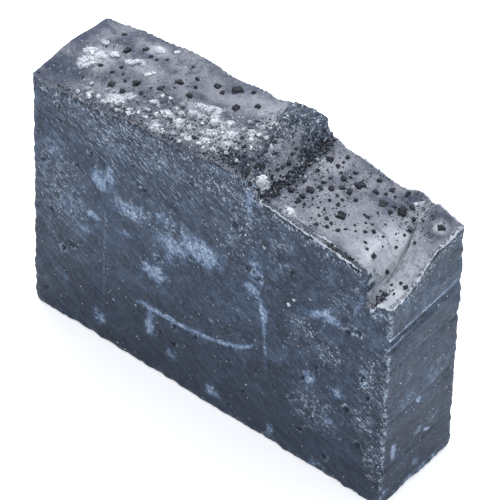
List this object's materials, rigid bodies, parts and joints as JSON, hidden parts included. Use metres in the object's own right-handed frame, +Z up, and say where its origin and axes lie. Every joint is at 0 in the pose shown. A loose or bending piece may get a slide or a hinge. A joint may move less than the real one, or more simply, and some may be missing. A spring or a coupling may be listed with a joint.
{
  "type": "soap bar",
  "caption": "Hand-cut bar of charcoal soap with a stepped, ash-crusted poured top strewn with coarse black and white salt.",
  "frame": {"origin": "middle of the footprint, on the mould floor that the bar stands on", "axes": "+X along the bar from its tall left end to its low right end, +Y from the front cut to the back cut, +Z up"},
  "size_m": [0.091, 0.023, 0.0706],
  "materials": {
    "charcoal_soap": "waxy satin, wire cut",
    "soda_ash": "powdery, matt",
    "black_salt": "rough crystal with a slight shine",
    "white_salt": "frosted crystal"
  },
  "bodies": {
    "root": {"ash_crust_lower": "soda_ash", "ash_crust_trough": "soda_ash", "ash_crust_upper": "soda_ash", "black_grain_back_large": "black_salt", "black_grain_domed": "black_salt", "black_grain_left_back": "black_salt", "black_grain_left_front": "black_salt", "black_grain_left_large": "black_salt", "black_grain_lower_cluster": "black_salt", "black_grain_lower_large": "black_salt", "black_grain_lower_long": "black_salt", "black_grain_ridge_dark": "black_salt", "black_grain_ridge_large": "black_salt", "black_grain_ringed": "black_salt", "black_grain_step_crest": "black_salt", "black_grains_lower_front": "black_salt", "black_grains_lower_middle": "black_salt", "black_grains_ridge": "black_salt", "black_grains_trough": "black_salt", "black_grains_upper_left": "black_salt", "black_grains_upper_right": "black_salt", "black_grit_lower_tier": "black_salt", "black_grit_right": "black_salt", "black_grit_spout": "black_salt", "black_grit_step_crest": "black_salt", "black_grit_step_foot_back": "black_salt", "black_grit_step_foot_front": "black_salt", "black_grit_step_foot_middle": "black_salt", "black_grit_upper_tier": "black_salt", "soap_body": "charcoal_soap", "white_crystal_back_sliver": "white_salt", "white_crystal_left_block": "white_salt", "white_crystal_left_cap": "white_salt", "white_crystal_left_chip": "white_salt", "white_crystal_left_tip": "white_salt", "white_crystal_lobe_high": "white_salt", "white_crystal_lobe_low": "white_salt", "white_crystal_long_bar": "white_salt", "white_crystal_low_bar": "white_salt", "white_crystal_lower_lump": "white_salt", "white_crystal_oval": "white_salt", "white_crystal_plate": "white_salt", "white_crystal_ridge": "white_salt", "white_crystal_step_lump": "white_salt", "white_flecks_front": "white_salt", "white_grit_front": "white_salt", "white_grit_left": "white_salt", "white_grit_step_crest": "white_salt", "white_grit_step_foot": "white_salt", "white_lumps_front": "white_salt"}
  },
  "joints": []
}
